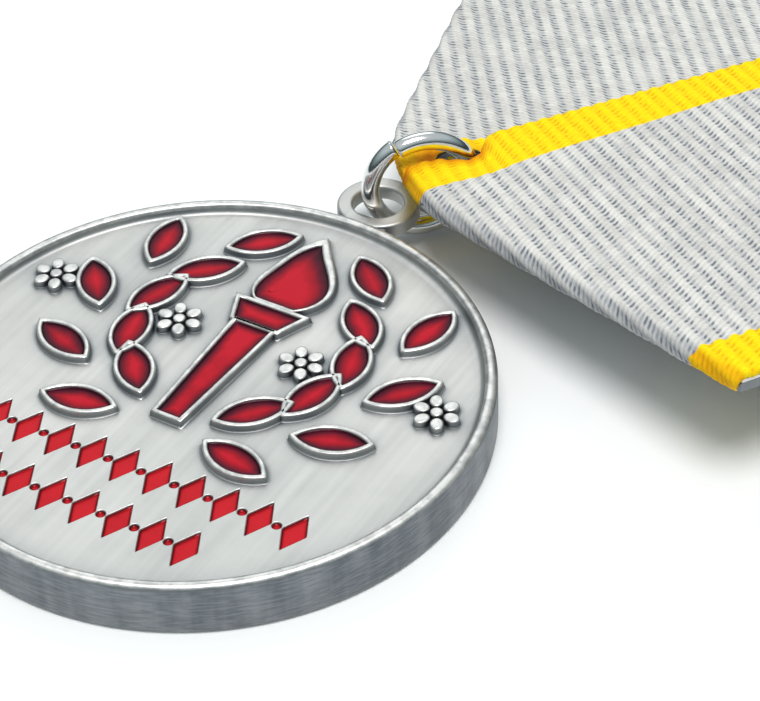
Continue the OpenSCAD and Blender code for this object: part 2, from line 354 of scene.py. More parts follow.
RIB, PICK, RIB_LEAN = 0.98, 0.35, 0.10  # pitch of the ribs and of the gaps along one, in mm; the ribs' slope


def cloth():
    """Ribbed ribbon: grey with a yellow stripe along each edge.

    Its points carry 'weave', (along, across, shade) of the cloth as cut, in mm, and 'strip', (distance into
    the stripe in mm, depth between ribs, tint of the rib).
    """
    m = Mat("ribbed_ribbon")
    stripe_at, valley, tint = m.xyz(m.attribute("strip", "Vector"))
    u, v, shade = m.xyz(m.attribute("weave", "Vector"))
    row = m.add(m.times(u, 1 / RIB), m.times(v, RIB_LEAN / RIB))
    pick = m.add(m.times(v, 1 / PICK), m.times(u, 0.5 / PICK))
    cell = m.point(X=m.math("ROUND", row), Y=m.math("ROUND", pick))
    chance = m.t.nodes.new("ShaderNodeTexWhiteNoise")
    chance.noise_dimensions = "2D"
    m.feed(chance.inputs["Vector"], cell)
    # Dark gaps in the valleys, each its own depth, and the cords that cross the ribs between them; the darkening
    # of valleys, gaps and the spaces between cords below is painted shade
    spot = m.math("COSINE", m.times(pick, 2 * math.pi))
    hole = m.times(m.span(spot, -0.55, 0.65), m.span(valley, 0.16, 0.80))
    hole = m.times(hole, m.span(chance.outputs["Value"], 0.0, 0.9, 0.2, 1.0))
    cord = m.span(m.math("COSINE", m.times(m.add(pick, 0.5), 2 * math.pi)), -1, 0.4)
    hair = m.noise(1.0, 3, m.point(X=m.times(u, 2.2), Y=m.times(v, 13.0)))
    slub = m.noise(1.0, 2, m.point(X=m.times(row, 0.9), Y=m.times(v, 0.35)))
    fuzz = m.noise(9000, 2)
    tone = m.span(m.add(m.times(tint, 0.22), slub), 0.2, 0.8)
    grey = m.mix(tone, (0.52, 0.505, 0.48), (0.70, 0.685, 0.645))
    grey = m.mix(m.times(m.span(hair, 0.35, 0.7), 0.55), grey, (0.84, 0.815, 0.76))
    # Painted shade in the weave's recesses: valleys, spaces between cords and gaps are darkened
    grey = m.mix(m.times(m.span(valley, 0.25, 1.0), 0.42), grey, (0.38, 0.405, 0.44))
    grey = m.mix(m.times(m.math("SUBTRACT", 1.0, cord), 0.22), grey, (0.34, 0.35, 0.37))
    grey = m.mix(m.times(hole, 0.84), grey, (0.10, 0.115, 0.145))
    grey = m.mix(m.times(shade, 0.62), grey, (0.16, 0.185, 0.23))
    gold = m.mix(m.span(hair, 0.3, 0.7), (0.93, 0.62, 0.002), (0.99, 0.80, 0.006))
    # Painted shade in the gold as well: orange in the valleys and gaps
    gold = m.mix(m.times(valley, 0.30), gold, (0.88, 0.46, 0.0))
    gold = m.mix(m.times(hole, 0.55), gold, (0.66, 0.26, 0.0))
    gold = m.mix(m.times(shade, 0.90), gold, (0.70, 0.19, 0.0))
    colour = m.mix(m.span(stripe_at, -0.05, 0.05), grey, gold)
    m.set(Base_Color=colour, Roughness=0.85, Specular_IOR_Level=0.18)
    return m.bump(
        (hair, 0.45, 0.00004), (hole, -0.9, 0.00009), (cord, 0.55, 0.00004), (fuzz, 0.25, 0.00002)
    )


SILVER = silver()
# Ruby colours from a cell's wall to its middle: the dark end is deeper glass plus painted shade from the wall
RUBY_DEPTH_AND_SHADE_STOPS = [
    (0.05, (0.022, 0.0004, 0.006)), (0.4, (0.10, 0.0008, 0.012)),
    (0.75, (0.30, 0.001, 0.010)), (1.0, (0.46, 0.003, 0.016)),
]
RUBY_SUNK_DEPTH_AND_SHADE_STOPS = [(0.0, (0.08, 0.001, 0.003)), (0.45, (0.34, 0.002, 0.007)), (1.0, (0.50, 0.006, 0.014))]
RUBY = enamel("ruby_enamel", 0.6, RUBY_DEPTH_AND_SHADE_STOPS)
RUBY_SUNK = enamel("ruby_enamel_sunk", 0.3, RUBY_SUNK_DEPTH_AND_SHADE_STOPS)
CLOTH = cloth()

# ---------------------------------------------------------------- the disc's shapes

DISC_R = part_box("medal_disc")[1].x / MM
FIELD_R, FIELD_Z = 14.8, 2.65
RELIEF = 0.42  # how far the raised work stands over the field
WALL = 0.34  # width of the wall round a raised cell
WREATH_Y, WREATH_R = 4.3, 8.0
LEAF_L, LEAF_W = 4.7, 2.35
LEAF_SPLAY, LEAF_STEP, FIRST_LEAF = 29, 30, 18  # degrees


def turned(pts, t):
    """Points turned by t to the left round the origin."""
    return pts @ np.array([[math.cos(t), math.sin(t)], [-math.sin(t), math.cos(t)]])


# Each outline below is a function of its inset, given with the deepest inset it can take.


def leaf_outline(side, at, s):
    """A leaf of the wreath, in the CAD's place for it: side -1 or 1, s -1, 0 or 1 off the stem."""
    r = (LEAF_L**2 + LEAF_W**2) / (4 * LEAF_W)
    off = r - LEAF_W / 2

    def outline(d):
        rr = r - d
        half = math.acos(min(1.0, off / rr))
        a = np.linspace(-half, half, 21)
        right = np.stack([-off + rr * np.cos(a), rr * np.sin(a)], 1)
        left = -right
        pts = np.concatenate([right[:-1], left[:-1]])
        pts[:, 1] += LEAF_L / 2
        pts = turned(pts, -s * math.radians(LEAF_SPLAY))
        pts[:, 0] += WREATH_R + s * 0.75
        pts = turned(pts, math.radians(at - 90))
        if side < 0:
            pts = (pts * [-1, 1])[::-1]
        pts[:, 1] += WREATH_Y
        return pts

    return outline, LEAF_W / 2 - 0.02


def offset(poly, d):
    """A polygon drawn in by d along its corners' bisectors."""
    poly = np.asarray(poly, float)
    way = np.roll(poly, -1, 0) - poly
    n = np.stack([-way[:, 1], way[:, 0]], 1) / np.linalg.norm(way, axis=1)[:, None]
    m = n + np.roll(n, 1, 0)
    m /= np.linalg.norm(m, axis=1)[:, None]
    miter = 1 / np.clip((m * n).sum(1), 0.35, 1)
    return poly + m * (d * miter)[:, None]


def taper_outline(y0, y1, w0, w1):
    """A four-sided block, w0 wide at y0 and w1 wide at y1."""
    poly = [[w0 / 2, y0], [w1 / 2, y1], [-w1 / 2, y1], [-w0 / 2, y0]]

    def outline(d):
        return along_sides(offset(poly, d), np.linspace(0, 1, 8, endpoint=False))

    return outline, min(w0, w1, y1 - y0) / 2 - 0.03


def flame_outline(y0, y1, w):
    """The leaning teardrop of the flame."""

    def outline(d):
        lo, hi, ww = y0 + 0.35 * d, y1 - 2.6 * d, w - 2.1 * d
        t = np.linspace(0, 1, 41)
        half = ww / 2 * np.sin(math.pi * t**0.62) ** 0.9
        sway = 0.55 * np.sin(np.radians(300 * t)) * t
        y = np.maximum(lo + t * (hi - lo), y0 + 0.33 + 0.9 * d)
        right = np.stack([sway + half, y], 1)
        left = np.stack([sway - half, y], 1)[::-1]
        return np.concatenate([right, left[1:-1]])

    return outline, w / 2 - 1.05


# Cross-section of a raised wall: (inset from its outer edge, height above the field)
WALL_SECTION = [
    (-0.11, -0.02), (-0.05, 0.015), (-0.005, 0.08), (0.01, 0.24), (0.03, 0.365), (0.065, 0.41),
    (0.11, 0.425), (0.23, 0.425), (0.275, 0.41), (0.305, 0.37), (0.325, 0.24), (0.335, 0.0),
]


# Enamel in a walled cell climbs the wall and sinks towards the middle: (fraction of the way in, height, tone);
# the low tone by the wall darkens it for the deeper glass and as painted shade from the wall
GLASS_SECTION = [
    (0, 0.30, 0.0), (0.05, 0.27, 0.08), (0.13, 0.255, 0.18), (0.28, 0.239, 0.38), (0.5, 0.235, 0.62),
    (0.75, 0.239, 0.85), (0.96, 0.243, 1.0),
]


def raise_wall(build, outline):
    build.loops([at_height(outline(d), FIELD_Z + z) for d, z in WALL_SECTION])


def fill_cell(build, outline, deepest):
    start = WALL - 0.02
    rings = [at_height(outline(start + (deepest - start) * f), FIELD_Z + z) for f, z, _ in GLASS_SECTION]
    build.fan(rings, [tone for *_, tone in GLASS_SECTION], np.mean(rings[-1], 0))


def leaves(side):
    """Four pairs of leaves up the stem, and one at its end."""
    places = [(FIRST_LEAF + LEAF_STEP * i, s) for i in range(4) for s in (-1, 1)]
    places.append((FIRST_LEAF + LEAF_STEP * 4, 0))
    return [leaf_outline(side, at, s) for at, s in places]


# The torch: neighbouring cells share a wall, so their outlines overlap by half its width
BOWL_Y, FLAME_Y, LAP = 5.2, 7.2, WALL / 2
LEAVES = {-1: leaves(-1), 1: leaves(1)}
HANDLE = taper_outline(-3.5, BOWL_Y + LAP, 2.0, 2.9)
BOWL = taper_outline(BOWL_Y - LAP, FLAME_Y, 3.2, 5.0)
FLAME = flame_outline(FLAME_Y - 0.5, 13.9, 4.6)

# The border's sunk cells: rows of lozenges with a dot between neighbours
LOZENGE_W, LOZENGE_L, DOT_R, CELL_PITCH = 1.45, 2.8, 0.26, 2.1


def lozenge(cx, cy, grow):
    w, l = LOZENGE_W / 2 + grow, LOZENGE_L / 2 + 1.9 * grow
    return along_sides([(w, 0), (0, l), (-w, 0), (0, -l)], np.linspace(0.04, 0.96, 6)) + [cx, cy]


def dot(cx, cy, grow):
    return circle(DOT_R + grow, 16, 0, (cx, cy))[:, :2]


def row(y, n):
    shapes = [(lozenge, i * CELL_PITCH, y) for i in range(-n, n + 1)]
    return shapes + [(dot, (i + 0.5) * CELL_PITCH, y) for i in range(-n, n)]


ROWS = {"upper": row(-7.3, 5), "lower": row(-10.9, 3)}

# ---------------------------------------------------------------- the disc

# (radius, height) from the middle of the back, round the rim, to the edge of the field
PROFILE = [
    (1e-4, 0), (6, 0), (12, 0), (15.3, 0), (15.62, 0.0), (15.80, 0.03), (15.92, 0.10), (15.98, 0.19),
    (DISC_R, 0.32), (DISC_R, 1.0), (DISC_R, 1.9), (DISC_R, 2.86), (15.985, 2.98), (15.94, 3.09),
    (15.87, 3.175), (15.78, 3.228), (15.66, 3.25), (15.54, 3.247), (15.45, 3.22), (15.39, 3.17),
    (15.35, 3.09), (15.31, 2.97), (15.27, 2.86), (15.21, 2.76), (15.11, 2.69), (14.98, 2.658),
    (FIELD_R, FIELD_Z),
]
SIDES = 256
body = Build()
body.loops([circle(r, SIDES, z) for r, z in PROFILE])

# The field, with an opening for each sunk cell
MOUTH = 0.05  # how much wider a sunk cell is where its broken edge meets the field
CELLS = ROWS["upper"] + ROWS["lower"]
points = [tuple(p[:2]) for p in circle(FIELD_R, SIDES)]
openings = [list(range(SIDES))]
for shape, cx, cy in CELLS:
    outline = shape(cx, cy, MOUTH)
    openings.append(list(range(len(points), len(points) + len(outline))))
    points += [tuple(p) for p in outline]
grid = np.arange(-14, 14.1, 1.0)
for gx in grid:
    for gy in grid:
        clear = not any(math.hypot(gx - cx, gy - cy) < 1.75 for _, cx, cy in CELLS)
        if gx * gx + gy * gy < 14**2 and clear:
            points.append((gx, gy))


def in_cell(c):
    """Is the point c inside one of the sunk cells?"""
    for shape, cx, cy in CELLS:
        if abs(c[0] - cx) < 1.0 and abs(c[1] - cy) < 1.7:
            p = shape(cx, cy, MOUTH)
            if all(twice_area(a, b, c) > 0 for a, b in zip(p, np.roll(p, -1, 0))):
                return True
    return False


def triangles(points, edges, mode, wanted):
    """A flat mesh of the wanted triangles, all facing up: its points, its faces."""
    got = delaunay_2d_cdt([Vector(p) for p in points], edges, [], mode, 1e-5)
    flat = np.array([[p.x, p.y] for p in got[0]])
    tris = [list(tri) for tri in got[2] if wanted(flat[list(tri)].mean(0))]
    return flat, [tri if twice_area(*flat[tri]) > 0 else tri[::-1] for tri in tris]


flat, kept = triangles(
    points, ring_edges(*openings), 0, lambda c: c @ c <= FIELD_R**2 and not in_cell(c)
)
body.add(at_height(flat, FIELD_Z), kept)

# The walls of the sunk cells, with a broken edge: (growth, height)
SUNK_WALL = [(MOUTH, 0.0), (0.03, -0.008), (0.005, -0.035), (-0.005, -0.07), (-0.01, -0.35)]
for shape, cx, cy in CELLS:
    body.loops([at_height(shape(cx, cy, g), FIELD_Z + z) for g, z in SUNK_WALL])

# The raised walls round the enamel
for side in (-1, 1):
    for outline, _ in LEAVES[side]:
        raise_wall(body, outline)
for outline, _ in (FLAME, HANDLE, BOWL):
    raise_wall(body, outline)


# Cross-section of a boss: (part of its radius, part of its height)
BOSS_SECTION = [
    (1.12, -0.02), (1.04, 0.03), (1.0, 0.15), (0.98, 0.72), (0.94, 0.9), (0.86, 0.98), (0.7, 1.0), (0.0001, 1.0),
]


def boss(cx, cy, r, height, squash=1.0, turn=0.0):
    """A low struck boss with a flat top and eased edges."""
    rings = []
    for f, h in BOSS_SECTION:
        flat = circle(r * f, 24)[:, :2] * [1, squash]
        rings.append(at_height(turned(flat, turn) + [cx, cy], FIELD_Z + height * h))
    body.loops(rings)


# The rosettes: six petals round an eye
ROSETTE_Y, PETAL_AT = 3.7, 0.92
for rx in (-12.5, -4.0, 4.0, 12.5):
    for i in range(6):
        a = math.radians(60 * i)
        boss(rx + PETAL_AT * math.cos(a), ROSETTE_Y + PETAL_AT * math.sin(a), 0.47, RELIEF, 0.80, a)
    boss(rx, ROSETTE_Y, 0.36, RELIEF + 0.03)

# The lug: a thick washer with rounded edges, and its neck
LUG_Y, LUG_IN, LUG_OUT, LUG_Z, LUG_T = 18.6, 1.5, 2.45, 1.65, 1.0
LUG_EDGE = 0.2
washer = []
for i, (r, z) in enumerate(
    (
        (LUG_OUT - LUG_EDGE, LUG_T - LUG_EDGE), (LUG_IN + LUG_EDGE, LUG_T - LUG_EDGE),
        (LUG_IN + LUG_EDGE, LUG_EDGE), (LUG_OUT - LUG_EDGE, LUG_EDGE),
    )
):
    for a in np.radians(np.linspace(90 * i, 90 * i + 90, 6)):
        washer.append((r + LUG_EDGE * math.cos(a), z + LUG_EDGE * math.sin(a)))
washer.append(washer[0])
body.loops([circle(r, 96, LUG_Z + z, (0, LUG_Y)) for r, z in washer])
neck = []
a = turns(40)
for y in np.linspace(15.5, 17.25, 12):
    flare = 1.70 + 0.55 * (1 - smooth(y, 15.7, 16.7)) - 0.12 * smooth(y, 16.6, 17.2)
    x = np.sign(np.cos(a)) * np.abs(np.cos(a)) ** 0.25 * flare
    z = np.sign(np.sin(a)) * np.abs(np.sin(a)) ** 0.35 * 0.36
    neck.append(np.stack([x, np.full(len(a), y), LUG_Z + LUG_T / 2 + z], 1))
body.loops(neck, capped=True)

disc = body.object("struck_disc", SILVER)
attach(disc, "medal")
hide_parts("medal_disc")


def enamel_piece(name, node, parts):
    build = Build()
    for outline, deepest in parts:
        fill_cell(build, outline, deepest)
    o = build.object(name, RUBY)
    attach(o, "medal")
    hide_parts(node)


enamel_piece("leaves_left_glass", "enamel_leaves_left", LEAVES[-1])
enamel_piece("leaves_right_glass", "enamel_leaves_right", LEAVES[1])
enamel_piece("torch_handle_glass", "enamel_torch_handle", [HANDLE])
enamel_piece("torch_bowl_glass", "enamel_torch_bowl", [BOWL])
enamel_piece("torch_flame_glass", "enamel_torch_flame", [FLAME])

# Enamel in a sunk cell: (growth, height, tone); the low tone at the edge darkens it for the deeper glass and as
# painted shade from the wall
SUNK_GLASS = [(-0.005, -0.10, 0.0), (-0.065, -0.15, 0.2), (-0.145, -0.17, 0.6), (-0.225, -0.175, 0.9)]
for key, node in (("upper", "enamel_border_upper"), ("lower", "enamel_border_lower")):
    build = Build()
    for shape, cx, cy in ROWS[key]:
        rings = [at_height(shape(cx, cy, g), FIELD_Z + z) for g, z, _ in SUNK_GLASS]
        build.fan(rings, [tone for *_, tone in SUNK_GLASS], [cx, cy, FIELD_Z + SUNK_GLASS[-1][1]])
    o = build.object("border_%s_glass" % key, RUBY_SUNK)
    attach(o, "medal")
    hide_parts(node)

# ---------------------------------------------------------------- the ring

RING_AT = np.array([2.15, 20.05, 3.82])
RING_R, WIRE_R = 3.06, 0.55
RING_TURN = math.radians(43.5)
RING_H = np.array([math.cos(RING_TURN), math.sin(RING_TURN), 0.0])
RING_UP = np.array([0.0, 0.0, 1.0])
RING_N = np.cross(RING_H, RING_UP)
CUT_AT, CUT_GAP = math.radians(118), math.radians(5.0)
CUT_APART = 0.17  # how far each cut end is bent to its side
RING_STEPS = 168
wire = []
a = turns(32)
for i in range(RING_STEPS + 1):
    f = i / RING_STEPS
    th = CUT_AT + CUT_GAP / 2 + f * (2 * math.pi - CUT_GAP)
    bent = CUT_APART * (abs(2 * f - 1) ** 3) * (1 if f > 0.5 else -1)
    radial = math.cos(th) * RING_H + math.sin(th) * RING_UP
    centre = RING_AT + RING_R * radial + bent * RING_N
    wire.append(centre + WIRE_R * (np.cos(a)[:, None] * radial + np.sin(a)[:, None] * RING_N))


def chamfer(end, beside):
    """Two more sections beyond a cut end, each smaller than the last."""
    centre = end.mean(0)
    out = unit(centre - beside.mean(0))
    return [centre + (end - centre) * f + out * d for f, d in ((0.95, 0.05), (0.82, 0.07))]


wire = chamfer(wire[0], wire[1])[::-1] + wire + chamfer(wire[-1], wire[-2])
ring = Build()
ring.loops(wire, capped=True)
NICKEL = metal("bright_nickel", (0.83, 0.825, 0.81), 0.13, 900, (1, 1, 0.15), 0.08, 0.06)
o = ring.object("split_ring", NICKEL)
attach(o, "ring")
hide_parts("jump_ring")

# ---------------------------------------------------------------- the mount's frame

# Seen from its front, the mount has x to the right, y from the point of its lower edge up, z towards the viewer.
# The record says where the pin's joint is, and these are its place in that frame.
joint = {j["name"]: j for j in RECORD["behaviour"]["joints"]}["pin_swing"]
needle = {m["name"]: m for m in RECORD["mounts"]}["needle"]
PX = -unit(needle["axis"])
PY = -unit(joint["axis"])
PN = np.cross(PX, PY)
PIN_X, PIN_Y, PIN_Z = 12.0, 27.0, -2.55
MOUNT_AT = np.array(joint["pos_m"]) / MM - (PIN_X * PX + PIN_Y * PY + PIN_Z * PN)


def to_world(p):
    p = np.asarray(p, float)
    return MOUNT_AT + p[..., 0:1] * PX + p[..., 1:2] * PY + p[..., 2:3] * PN


# The right half's outline: the widest corner, the shoulder at the top edge, the point cut off at TIP_Y
CORNER_X, CORNER_Y, SHOULDER_X, TOP_Y, TIP_Y = 25.3, 13.3, 14.3, 55.0, 1.9
LEAN = (CORNER_X - SHOULDER_X) / (TOP_Y - CORNER_Y)
TILT = math.atan(LEAN)
U = np.array([-math.sin(TILT), math.cos(TILT)])  # along the ribbon, upwards
V = np.array([math.cos(TILT), math.sin(TILT)])  # across it, outwards
WIDE = 27.78
LOW_N = unit([-CORNER_Y, CORNER_X])
EYE = np.array([0.0, 5.55])  # where the ring goes through


def fold_low(x, y):
    """Distance inside the lower edge, and its direction, rounded at the cut point."""
    soft = 0.5
    a = x * LOW_N[0] + y * LOW_N[1]
    b = y - TIP_Y
    low = np.minimum(a, b)
    ea, eb = np.exp(-(a - low) / soft), np.exp(-(b - low) / soft)
    w = low - soft * np.log(ea + eb)
    g = (ea[..., None] * LOW_N + eb[..., None] * np.array([0.0, 1.0])) / (ea + eb)[..., None]
    return w, g / np.linalg.norm(g, axis=-1, keepdims=True)


def ribbon(name, node, side, face_z, back_z):
    """One end of the ribbon: its face, the turns round the plate's edges, and the ends behind.

    Both ends are worked out on the right; side -1 is mirrored and lies under the other. Only the upper one is
    turned over the top edge.
    """
    on_top = side > 0
    r = (face_z - back_z) / 2
    tail = 5.6
    ends = [(0.02, -0.30), (-0.07, -0.27), (-0.12, -0.19), (-0.13, -0.10), (-0.09, -0.03)]
    core = np.linspace(0, WIDE, 281)
    v = np.concatenate([[q for q, _ in ends], core, [WIDE - q for q, _ in ends[::-1]]])
    drop = np.concatenate([[z for _, z in ends], np.zeros(len(core)), [1.62 * z for _, z in ends[::-1]]])
    # Where the cloth starts and ends along each line across it: start by halving, as the lower fold is rounded
    low_end = r - math.pi * r - tail
    lo, hi = np.full(len(v), -30.0), np.full(len(v), 40.0)
    for _ in range(40):
        mid = (lo + hi) / 2
        w, _ = fold_low(mid * U[0] + v * V[0], mid * U[1] + v * V[1])
        lo, hi = np.where(w < low_end, mid, lo), np.where(w < low_end, hi, mid)
    start = lo
    top = TOP_Y + (math.pi - 1) * r + tail if on_top else TOP_Y - 0.5
    end = (top - v * V[1]) / U[1]
    step = RIB / 8
    u_grid = np.arange(math.floor(start.min() / step) - 1, math.ceil(end.max() / step) + 2) * step
    uu = u_grid[:, None] - RIB_LEAN * v[None, :] + RIB_LEAN * WIDE / 2
    inside = (uu > start[None, :]) & (uu < end[None, :])
    uu = np.clip(uu, start[None, :], end[None, :])
    cut_v = np.broadcast_to(v, uu.shape)
    # The weave, on the cloth as cut
    p = (uu + RIB_LEAN * cut_v) / RIB
    valley = (0.5 - 0.5 * np.cos(2 * math.pi * p)) ** 1.3
    rib = np.floor(p + 0.5).astype(int) % DRAWN
    lump_at = np.floor(cut_v / LUMP + 0.5).astype(int) % DRAWN
    rand = rng.uniform(0, 1, (DRAWN, DRAWN))[rib, lump_at]
    rib_tint = rng.uniform(-1, 1, DRAWN)[rib]
    lump = np.cos(2 * math.pi * (cut_v + 0.5 * uu) / LUMP + 2.5 * rand)
    height = -(0.085 + 0.03 * rand) * valley + 0.016 * lump * (1 - valley)
    height = height + np.sin(uu * 0.55 + 1.7 * side) * np.sin(cut_v * 0.42) * 0.03
    # The inner edge gives way to the ring; what lies in the hollow beside it is shaded
    if on_top:
        push = 1.15 * smooth(uu, 0.2, 1.6) + 1.15 * np.exp(-(((uu - 5.55) / 1.35) ** 2))
        push = push * (1 - smooth(uu, 6.35, 8.6))
        raised = np.clip(push / 1.6, 0, 1)
        shade = raised * np.clip(1 - cut_v / 1.2, 0, 1)
        height = height + 0.16 * raised * np.exp(-((cut_v / 0.8) ** 2))
        vv = cut_v + push * np.clip((4.2 - cut_v) / 4.2, 0, 1)
    else:
        vv = cut_v
        gx, gy = uu * U[0] + vv * V[0] - 0.6, uu * U[1] + vv * V[1] - 4.3
        shade = np.exp(-((gx / 1.7) ** 2) - (gy / 1.8) ** 2)
    x, y = uu * U[0] + vv * V[0], uu * U[1] + vv * V[1]
    # Round the lower edge, then flat behind it
    w, g = fold_low(x, y)
    short = r - np.minimum(w, r)
    phi = short / r
    arc = np.clip(phi, 0, math.pi)
    past = np.clip(phi - math.pi, 0, None) * r
    fx, fy = x + g[..., 0] * short, y + g[..., 1] * short
    px = fx - g[..., 0] * (r * np.sin(arc) - past)
    py = fy - g[..., 1] * (r * np.sin(arc) - past)
    pz = face_z - r * (1 - np.cos(arc))
    nx, ny, nz = -g[..., 0] * np.sin(arc), -g[..., 1] * np.sin(arc), np.cos(arc)
    if on_top:
        over = np.clip(y - (TOP_Y - r), 0, None)
        top_arc = np.clip(over / r, 0, math.pi)
        top_past = np.clip(over / r - math.pi, 0, None) * r
        up = over > 0
        py = np.where(up, TOP_Y - r + r * np.sin(top_arc) - top_past, py)
        pz = np.where(up, face_z - r * (1 - np.cos(top_arc)), pz)
        ny = np.where(up, np.sin(top_arc), ny)
        nz = np.where(up, np.cos(top_arc), nz)
    lift = height + drop[None, :]
    px, py, pz = px + nx * lift, py + ny * lift, pz + nz * lift
    # Threads pushed aside round the ring's hole: (where, centre, reach, narrowing), round a small cut
    slits = [(nz < -0.5, EYE, 1.75, 1.0)]
    if not on_top:
        slits.append((nz > 0.5, (0.33, 5.52), 1.42, 0.72))
    for mask, (ox, oy), reach, narrow in slits:
        dx, dy = (px - ox) / narrow, py - oy
        d = np.hypot(dx, dy)
        far = np.maximum(d, SLIT_CUT)
        bulge = reach**2 * np.exp(-((far / 3.2) ** 2))
        pushed = np.sqrt(np.clip(far**2 - SLIT_CUT**2, 0, None) + bulge)
        pushed = np.where(d < 6, np.maximum(pushed, d), d)
        k = np.where(mask & (d > 1e-6), pushed / np.maximum(d, 1e-6), 1.0)
        px, py = ox + dx * k * narrow, oy + dy * k
        inside &= ~(mask & (d < SLIT_CUT))
    if side < 0:
        px = -px
    pts = np.stack([px, py, pz], -1).reshape(-1, 3)
    n_u, n_v = uu.shape
    ids = np.arange(n_u * n_v).reshape(n_u, n_v)
    any_in = inside[:-1, :-1] | inside[1:, :-1] | inside[:-1, 1:] | inside[1:, 1:]
    quads = np.stack([ids[:-1, :-1], ids[:-1, 1:], ids[1:, 1:], ids[1:, :-1]], -1)[any_in]
    # A quad whose corners fall on the border line twice is left out
    c0, c1, c2, c3 = (pts[quads[:, i]] for i in range(4))
    length = np.linalg.norm(c0 - c3, axis=1) + np.linalg.norm(c1 - c2, axis=1)
    quads = quads[length > 0.01]
    if side < 0:
        quads = quads[:, ::-1]
    used = np.unique(quads)
    remap = np.zeros(len(pts), int)
    remap[used] = np.arange(len(used))
    # On the outside of a fold the weave is drawn more open and painted shade is added
    fold = smooth(phi, 0.1, 0.9) * (1 - smooth(phi, 2.2, 3.0))
    valley = valley + 0.14 * fold
    shade = np.clip(shade + 0.5 * fold, 0, 1)
    inner_stripe = 3.75 - 0.6 * smooth(uu, 4, 26)
    stripe_at = np.maximum(inner_stripe - cut_v, cut_v - (WIDE - OUTER_STRIPE)) + 0.06 * np.cos(2 * math.pi * p)
    tint = 0.5 * (rand * 2 - 1) + 0.5 * rib_tint
    values = {
        "strip": np.stack([stripe_at, valley, tint], -1).reshape(-1, 3)[used],
        "weave": np.stack([uu, cut_v, shade], -1).reshape(-1, 3)[used],
    }
    o = mesh_object(name, to_world(pts[used]), remap[quads].tolist(), CLOTH, values)
    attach(o, "mount")
    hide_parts(node)
    lengths = (end - start)[len(ends) : -len(ends)]
    flat_size = (WIDE * MM, float(lengths.max()) * MM)
    return o, flat_size, float(lengths.mean() * WIDE) * MM * MM


DRAWN, LUMP = 256, 0.55  # how many ribs and lumps are drawn, and the lumps' pitch
SLIT_CUT, OUTER_STRIPE = 0.30, 3.0
under, under_flat, under_area = ribbon("ribbon_left", "ribbon_under", -1, -0.29, -1.34)
over, over_flat, over_area = ribbon("ribbon_right", "ribbon_over", 1, 0.0, -1.45)

# The card under the ribbon: it comes near the ribbon's own edges, so it shows as a thin white line at the side
SIDE_IN, LOW_IN, TOP_IN = 0.04, 0.34, 0.75
CARD_FRONT, CARD_BACK = -0.52, -0.70
side_y = CORNER_Y + LOW_IN / LOW_N[1]
side_x = CORNER_X - LEAN * (side_y - CORNER_Y) - SIDE_IN
top_x = CORNER_X - LEAN * (TOP_Y - TOP_IN - CORNER_Y) - SIDE_IN
low_y = TIP_Y + 1.0
low_x = low_y * CORNER_X / CORNER_Y - LOW_IN / abs(LOW_N[0])
right_half = [(low_x, low_y), (side_x, side_y), (top_x, TOP_Y - TOP_IN)]
card_outline = right_half + [(-x, y) for x, y in right_half[::-1]]
EYE_HOLE_R = 1.9
eye_hole = circle(EYE_HOLE_R, 48, 0, tuple(EYE))[:, :2]
corners = range(len(card_outline))
hole_points = range(len(card_outline), len(card_outline) + len(eye_hole))
card_flat, card_faces = triangles(
    card_outline + eye_hole.tolist(), ring_edges(corners, hole_points), 1,
    lambda c: np.hypot(*(c - EYE)) > EYE_HOLE_R - 0.03,
)
card_build = Build()
card_build.add(to_world(at_height(card_flat, CARD_FRONT)), card_faces)
card_build.add(to_world(at_height(card_flat, CARD_BACK)), [t[::-1] for t in card_faces])
for outline in (np.array(card_outline), eye_hole[::-1]):
    card_build.loops([to_world(at_height(outline, z)) for z in (CARD_BACK, CARD_FRONT)])
WHITE_CARD = fibrous(
    "white_card", 2600, 4, (1, 0.3, 1), (0.74, 0.73, 0.70), (0.86, 0.855, 0.835), 0.85, 0.2, 0.00003
)
o = card_build.object("backing_card", WHITE_CARD)
o.data.polygons.foreach_set("use_smooth", [False] * len(o.data.polygons))
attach(o, "mount")
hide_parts("stiffener_card")

# ---------------------------------------------------------------- stitches

STITCH_L, PLY_R, PLY_OFF, STITCH_ARCH = 0.95, 0.062, 0.05, 0.10
HEM = 4.8  # from the folded edge to the row of stitches
LEFT_BACK, RIGHT_BACK = -1.30, -1.40
stitch_build = Build()


def stitch(x, y, turn, z):
    """A twisted two-ply thread that rises from the cloth and goes back into it."""
    around = circle(PLY_R, 8)
    for ply in (0, math.pi):
        rings = []
        for f in np.linspace(-0.5, 0.5, 13):
            twist = 3 * math.pi * f + ply
            depth = STITCH_ARCH * math.cos(math.pi * f)
            across = PLY_OFF * math.cos(twist) + around[:, 0]
            along = np.full(len(around), f * STITCH_L)
            flat = turned(np.stack([along, across], 1), turn) + [x, y]
            height = z - depth + PLY_OFF * math.sin(twist) + around[:, 1]
            rings.append(to_world(np.column_stack([flat, height])))
        stitch_build.loops(rings, capped=True)


low_slope = CORNER_Y / CORNER_X
for side, back in ((-1, LEFT_BACK), (1, RIGHT_BACK)):
    for i in range(11):
        x = side * (TIP_Y / low_slope + 3 + i * 1.6)
        y = low_slope * abs(x) + HEM * math.hypot(1, low_slope)
        stitch(x, y, side * math.atan(low_slope), back)
for i in range(-10, 11):
    stitch(i * 1.28, TOP_Y - HEM, 0, RIGHT_BACK)
THREAD = fibrous(
    "cotton_thread", 6000, 3, (1, 1, 1), (0.55, 0.54, 0.51), (0.78, 0.77, 0.73), 0.8, 0.3, 0.00002
)
o = stitch_build.object("hem_stitches", THREAD)
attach(o, "mount")
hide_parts("ribbon_stitches")

# ---------------------------------------------------------------- plate and pin, in their CAD shapes

